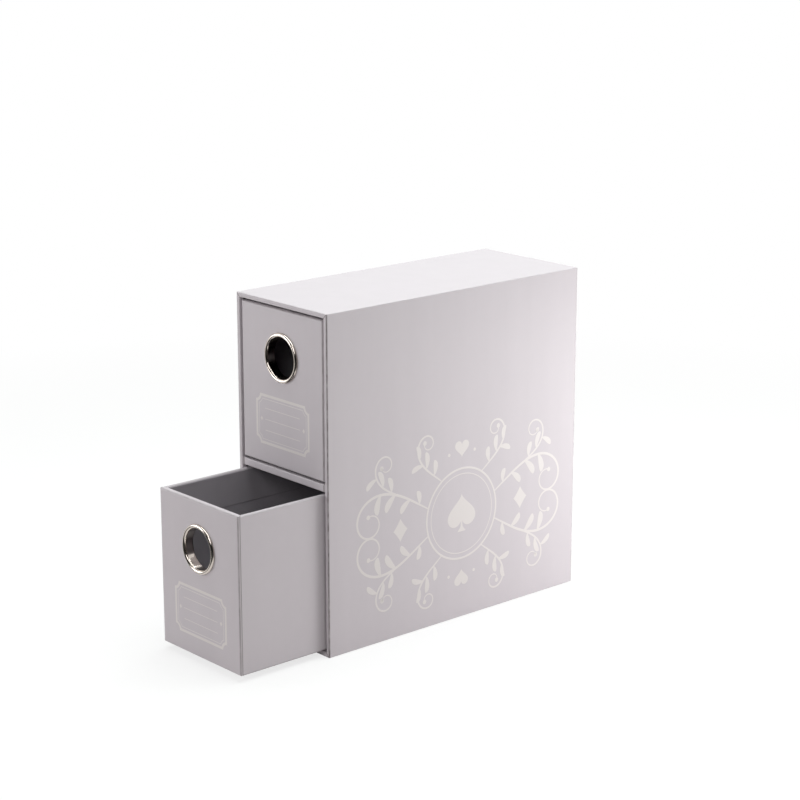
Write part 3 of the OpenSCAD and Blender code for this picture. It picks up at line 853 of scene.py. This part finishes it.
# The lining's fold colour, also the colour of its painted shade line.
LINING_FOLD_AND_SHADE = srgb(40, 38, 40)
covering = papered("pearl_grey_paper", COVER_COLOUR, FOLD_WEAR_AND_SHADE_COLOUR, 0.05, 0.05, 0.012, 0.52,
                   Specular_IOR_Level=0.3)
ink = papered("pale_ink", srgb(225, 219, 218), FOLD_WEAR_AND_SHADE_COLOUR, 0.03, 0.02, 0.008, 0.45, Specular_IOR_Level=0.3)
LINING = {name: lined(name + "_lining", place[2] + rim_z - TURN_DOWN) for name, place in DRAWERS.items()}
bay_card = papered("charcoal_card", srgb(62, 59, 62), srgb(30, 28, 30), 0.2, 0.05, 0.03, 0.7)
base_paper = papered("pale_grey_sheet", srgb(198, 193, 195), FOLD_WEAR_AND_SHADE_COLOUR, 0.07, 0.03, 0.02, 0.55)
greyboard = papered("greyboard", srgb(152, 141, 127), srgb(90, 80, 70), 0.5, 0.1, 0.08, 0.85)
ring_nickel = nickel("ring_nickel", (0.60, 0.54, 0.49, 1.0), 0.13)
washer_nickel = nickel("washer_nickel", (0.60, 0.56, 0.50, 1.0), 0.3)

NODE_FINISHES = [(name + "_liner", finish) for name, finish in LINING.items()]
NODE_FINISHES += [("_card", bay_card), ("_sheet", base_paper), ("_board", greyboard)]
for cad_name, cad_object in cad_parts.items():
    for ending, finish in NODE_FINISHES:
        if cad_name.endswith(ending):
            cad_object.data.materials.clear()
            cad_object.data.materials.append(finish)


def fit(obj, body, finish, slot, *nodes):
    """Gives a piece its finish and its body, and hides the frame's nodes that it stands for."""
    obj.data.materials.append(finish)
    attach(obj, body)
    if nodes:
        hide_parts(*nodes)


fit(casing_cover(), "casing", covering, "covering_paper", "casing_wrap")
fit(shelf_cover(), "casing", covering, "covering_paper", "shelf_wrap")
fit(casing_print(), "casing", ink, "covering_paper")
for drawer, origin in DRAWERS.items():
    fit(tray_cover(drawer, origin), drawer, covering, "covering_paper", drawer + "_tray_wrap")
    fit(face_cover(drawer, origin), drawer, covering, "covering_paper", drawer + "_face_wrap")
    fit(finger_ring(drawer, origin), drawer, ring_nickel, "ring_metal", drawer + "_finger_ring")
    fit(ring_washer(drawer, origin), drawer, washer_nickel, "washer_metal", drawer + "_ring_washer")
    fit(label(drawer, origin), drawer, ink, "covering_paper")


# Studio: a white floor and surround, a soft lamp at the front left, one high at the front right, a wide
# one above, and a low strip behind the box on its right

def seen_white(tree, lit, plain, rays):
    """Mixes a lit shader with plain white for these kinds of ray."""
    path = node(tree, "LightPath")
    share = path.outputs[rays[0]]
    for kind in rays[1:]:
        share = node(tree, "Math", {0: share, 1: path.outputs[kind]}, operation="MAXIMUM").outputs[0]
    mix = node(tree, "MixShader", {0: share})
    tree.links.new(lit, mix.inputs[1])
    tree.links.new(plain, mix.inputs[2])
    return mix.outputs[0]


AMBIENT = 0.02
WHITE = (1, 1, 1, 1)
WHITE_RAYS = ["Is Camera Ray", "Is Glossy Ray", "Is Transmission Ray"]
world = bpy.data.worlds.new("surround")
bpy.context.scene.world = world
world.use_nodes = True
world_tree = world.node_tree
world_tree.nodes.clear()
dim = node(world_tree, "Background", {"Color": WHITE, "Strength": AMBIENT})
white = node(world_tree, "Background", {"Color": WHITE, "Strength": 1.0})
surround = seen_white(world_tree, dim.outputs[0], white.outputs[0], WHITE_RAYS)
world_out = world_tree.nodes.new("ShaderNodeOutputWorld")
world_tree.links.new(surround, world_out.inputs[0])

# The floor: half its size, its colour to the lamps, and the distances from its middle between which the
# white that the eye and the metal see there goes from LEAST_GLOW shining by itself, and the rest lit, to
# all shining by itself
FLOOR_HALF = 6.0
FLOOR_COLOUR = (0.57, 0.545, 0.535, 1)
GLOW_FROM, GLOW_TO, LEAST_GLOW = 0.35, 0.8, 0.75
floor_mesh = bpy.data.meshes.new("floor")
floor_corners = [(x * FLOOR_HALF, y * FLOOR_HALF, 0) for x, y in ((-1, -1), (1, -1), (1, 1), (-1, 1))]
floor_mesh.from_pydata(floor_corners, [], [(0, 1, 2, 3)])
floor = bpy.data.objects.new("floor", floor_mesh)
bpy.context.scene.collection.objects.link(floor)
floor_finish, floor_tree, floor_shader = material("floor_white", Roughness=0.9, Base_Color=FLOOR_COLOUR)
glow = node(floor_tree, "Emission", {"Color": WHITE, "Strength": 1.0})
bright = node(floor_tree, "BsdfDiffuse", {"Color": WHITE})
floor_place = node(floor_tree, "TexCoord").outputs["Object"]
from_middle = node(floor_tree, "VectorMath", {0: floor_place}, operation="LENGTH").outputs["Value"]
glow_range = {0: from_middle, 1: GLOW_FROM, 2: GLOW_TO, 3: LEAST_GLOW, 4: 1.0}
far = node(floor_tree, "MapRange", glow_range).outputs[0]
lifted = node(floor_tree, "MixShader", {0: far})
floor_tree.links.new(bright.outputs[0], lifted.inputs[1])
floor_tree.links.new(glow.outputs[0], lifted.inputs[2])
floor_seen = seen_white(floor_tree, floor_shader.outputs[0], lifted.outputs[0], WHITE_RAYS)
floor_tree.links.new(floor_seen, floor_tree.nodes["Material Output"].inputs[0])
floor_mesh.materials.append(floor_finish)


def lamp(name, place, aim, width, height, power, colour=(1, 1, 1)):
    """A soft lamp at a place, facing the point that it is aimed at, and not seen itself."""
    data = bpy.data.lights.new(name, "AREA")
    data.shape = "RECTANGLE"
    data.size = width
    data.size_y = height
    data.energy = power
    data.color = colour
    obj = bpy.data.objects.new(name, data)
    obj.location = place
    obj.rotation_euler = direction_turn(np.array(aim) - np.array(place))
    obj.visible_camera = False
    bpy.context.scene.collection.objects.link(obj)


def direction_turn(way):
    """The turn that points an object's -Z along a direction, with its X level.

    Its axes are right = Z x back, up = back x right, and back, which is the direction turned about."""
    back = -np.array(way, float) / np.linalg.norm(way)
    right = np.cross([0, 0, 1], back)
    if np.linalg.norm(right) < NO_LENGTH:
        right = np.array([1.0, 0, 0])
    right /= np.linalg.norm(right)
    up = np.cross(back, right)
    return Matrix(np.stack([right, up, back], -1).tolist()).to_euler()


LEFT_POWER, RIGHT_POWER, TOP_POWER, BACK_POWER = 3.05, 2.8, 20.1, 1.36
TOP_COLOUR = (0.95, 1.0, 0.972)
lamp("left_softbox", (-0.66, -0.75, 0.22), (0.0, -0.1, 0.1), 0.5, 0.28, LEFT_POWER)
lamp("right_softbox", (0.50, -0.90, 0.70), (0.0, -0.12, 0.08), 0.5, 0.5, RIGHT_POWER)
lamp("top_softbox", (0.05, 0.22, 1.25), (0.05, 0.22, 0.0), 1.2, 1.2, TOP_POWER, TOP_COLOUR)
lamp("back_strip", (0.28, 0.36, 0.07), (0.04, 0.11, 0.06), 0.3, 0.12, BACK_POWER)

# The dark room's middle direction and half width in degrees, its rows' radii and heights, a height
# above it all that its faces look away from, and its colour
DARK_MIDDLE, DARK_HALF = -48, 78
DARK_ROWS = np.array([[0.27, 0.003], [2.4, 0.003], [2.4, 1.2], [2.4, 2.5]])
DARK_ABOVE = 9.0
DARK_COLOUR = (0.012, 0.011, 0.011, 1)


def dark_room():
    """A dark skirt and wall, only for reflections: from beside the left lamp, round behind the camera,
    to the right of the box.

    Its rows are radius * (cos a, sin a) at their heights, with a within DARK_HALF of DARK_MIDDLE."""
    angle = np.radians(np.linspace(DARK_MIDDLE - DARK_HALF, DARK_MIDDLE + DARK_HALF, 33))
    radius, height = DARK_ROWS.T
    points = np.stack([np.outer(radius, np.cos(angle)), np.outer(radius, np.sin(angle)),
                       np.outer(height, np.ones(len(angle)))], -1)
    wall = piece("dark_room", [sheet(points, (0, 0, DARK_ABOVE))])
    finish = material("dark_room", Roughness=1.0, Base_Color=DARK_COLOUR)[0]
    wall.data.materials.append(finish)
    wall.visible_camera = False
    wall.visible_diffuse = False
    wall.visible_shadow = False
    wall.visible_transmission = False


dark_room()

# The camera that was fitted to the photograph: its place, the way that it looks and its right
VIEW_POINT = np.array([992.35, -885.47, 490.83]) * MM
VIEW_WAY = np.array([-0.72462, 0.63933, -0.25727])
VIEW_RIGHT = np.array([0.66164, 0.74982, -0.00022])
LENS, FILM_W = 96.356, 36.0
camera_data = bpy.data.cameras.new("camera")
camera_data.sensor_width = FILM_W
camera_data.lens = LENS
camera = bpy.data.objects.new("camera", camera_data)
view_up = np.cross(VIEW_RIGHT, VIEW_WAY)
turned_view = Matrix(np.stack([VIEW_RIGHT, view_up, -VIEW_WAY], -1).tolist()).to_4x4()
camera.matrix_world = Matrix.Translation(VIEW_POINT.tolist()) @ turned_view
bpy.context.scene.collection.objects.link(camera)
bpy.context.scene.camera = camera
bpy.context.scene.view_settings.view_transform = "Standard"

bpy.context.view_layer.update()
